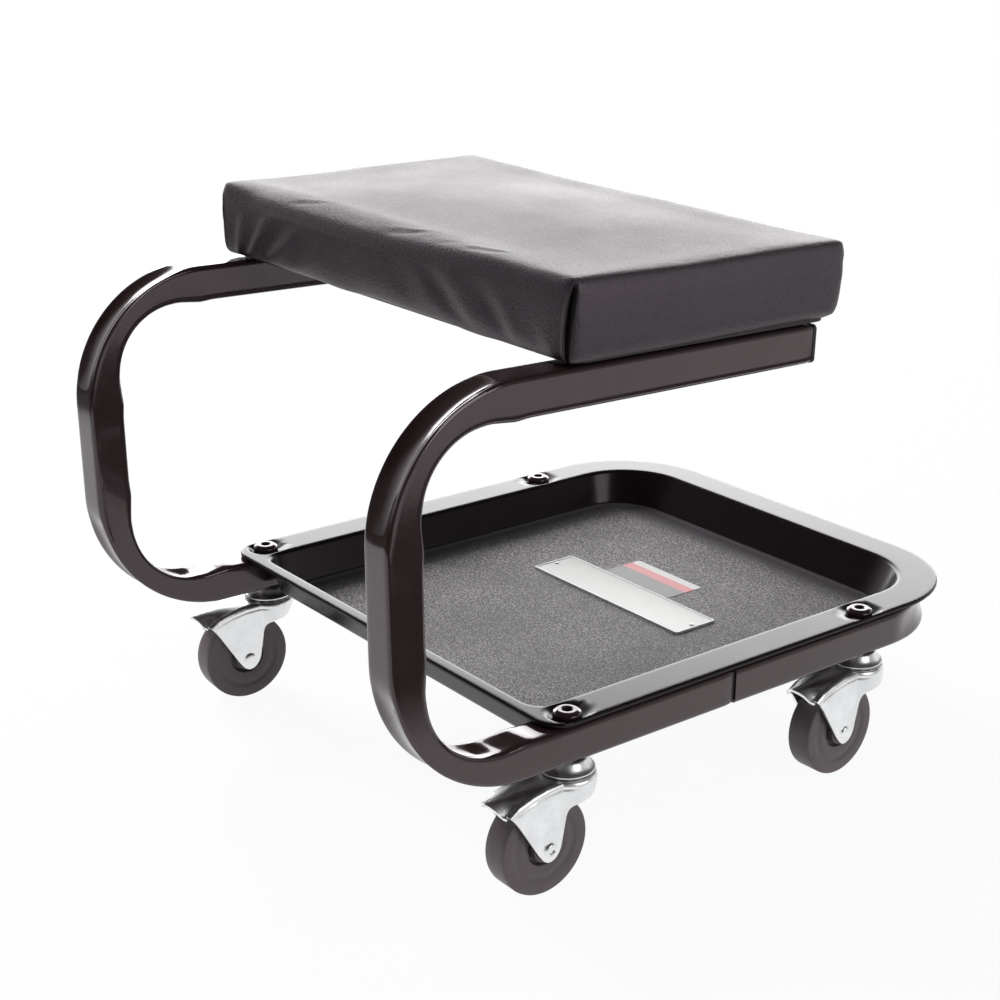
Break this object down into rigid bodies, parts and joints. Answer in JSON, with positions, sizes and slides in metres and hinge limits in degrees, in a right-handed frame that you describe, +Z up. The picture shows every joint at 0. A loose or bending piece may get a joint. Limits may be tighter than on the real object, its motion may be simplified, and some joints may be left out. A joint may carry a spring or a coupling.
{
  "type": "mechanic's creeper seat",
  "caption": "Low rolling workshop seat: a padded cushion on two C-shaped square-tube frames, joined by a U-shaped rear tube, with a deep tool tray and swivel casters underneath",
  "frame": {"origin": "on the floor, at the centre of the overall box", "axes": "+Z up; -Y towards the posts that join the side frames' rails, +Y towards the rear tube; +X to the side whose frame is nearest in the picture"},
  "size_m": [0.4036, 0.5366, 0.4036],
  "materials": {
    "gloss_black_paint": "gloss black baked paint",
    "textured_black_paint": "fine speckled satin black paint",
    "zinc_plate": "bright zinc plate",
    "bare_steel": "bare steel",
    "aluminium_plate": "satin aluminium",
    "pale_sticker": "printed film, left bare",
    "black_plastic": "moulded black plastic",
    "wheel_plastic": "hard dark grey wheel plastic",
    "black_vinyl": "fine-grained black vinyl",
    "foam": "open-cell foam",
    "plywood": "raw plywood"
  },
  "bodies": {
    "frame": {"left_side_frame": "gloss_black_paint", "right_side_frame": "gloss_black_paint", "rear_tube": "gloss_black_paint", "joint_sleeves": "bare_steel", "rail_end_plugs": "black_plastic", "seat_cover": "black_vinyl", "seat_foam": "foam", "seat_board": "plywood", "seat_tee_nuts": "zinc_plate", "seat_bolts": "zinc_plate", "tray": "textured_black_paint", "tray_cap_nuts": "gloss_black_paint", "badge_plate": "aluminium_plate", "badge_rivets": "zinc_plate", "tray_sticker": "pale_sticker", "caster_stems": "zinc_plate", "caster_top_plates": "zinc_plate", "caster_balls": "bare_steel"},
    "swivel_front_left": {"yoke_front_left": "zinc_plate", "axle_front_left": "zinc_plate", "bush_front_left": "bare_steel"},
    "swivel_front_right": {"yoke_front_right": "zinc_plate", "axle_front_right": "zinc_plate", "bush_front_right": "bare_steel"},
    "swivel_rear_left": {"yoke_rear_left": "zinc_plate", "axle_rear_left": "zinc_plate", "bush_rear_left": "bare_steel"},
    "swivel_rear_right": {"yoke_rear_right": "zinc_plate", "axle_rear_right": "zinc_plate", "bush_rear_right": "bare_steel"},
    "wheel_front_left": {"wheel_front_left": "wheel_plastic"},
    "wheel_front_right": {"wheel_front_right": "wheel_plastic"},
    "wheel_rear_left": {"wheel_rear_left": "wheel_plastic"},
    "wheel_rear_right": {"wheel_rear_right": "wheel_plastic"}
  },
  "joints": [
    {"name": "swivel_front_left_turn", "type": "hinge", "parent": "frame", "child": "swivel_front_left", "pos_m": [-0.1818, -0.1253, 0.0795], "axis": [0, 0, 1], "continuous": true},
    {"name": "wheel_front_left_spin", "type": "hinge", "parent": "swivel_front_left", "child": "wheel_front_left", "pos_m": [-0.18367, -0.14903, 0.0338], "axis": [0.9969, -0.0785, 0], "continuous": true},
    {"name": "swivel_front_right_turn", "type": "hinge", "parent": "frame", "child": "swivel_front_right", "pos_m": [0.1818, -0.1253, 0.0795], "axis": [0, 0, 1], "continuous": true},
    {"name": "wheel_front_right_spin", "type": "hinge", "parent": "swivel_front_right", "child": "wheel_front_right", "pos_m": [0.18159, -0.1491, 0.0338], "axis": [1, -0.0087, 0], "continuous": true},
    {"name": "swivel_rear_left_turn", "type": "hinge", "parent": "frame", "child": "swivel_rear_left", "pos_m": [-0.1818, 0.1459, 0.0795], "axis": [0, 0, 1], "continuous": true},
    {"name": "wheel_rear_left_spin", "type": "hinge", "parent": "swivel_rear_left", "child": "wheel_rear_left", "pos_m": [-0.1818, 0.1221, 0.0338], "axis": [1, 0, 0], "continuous": true},
    {"name": "swivel_rear_right_turn", "type": "hinge", "parent": "frame", "child": "swivel_rear_right", "pos_m": [0.1818, 0.1459, 0.0795], "axis": [0, 0, 1], "continuous": true},
    {"name": "wheel_rear_right_spin", "type": "hinge", "parent": "swivel_rear_right", "child": "wheel_rear_right", "pos_m": [0.18242, 0.12211, 0.0338], "axis": [0.9997, 0.0262, 0], "continuous": true}
  ]
}
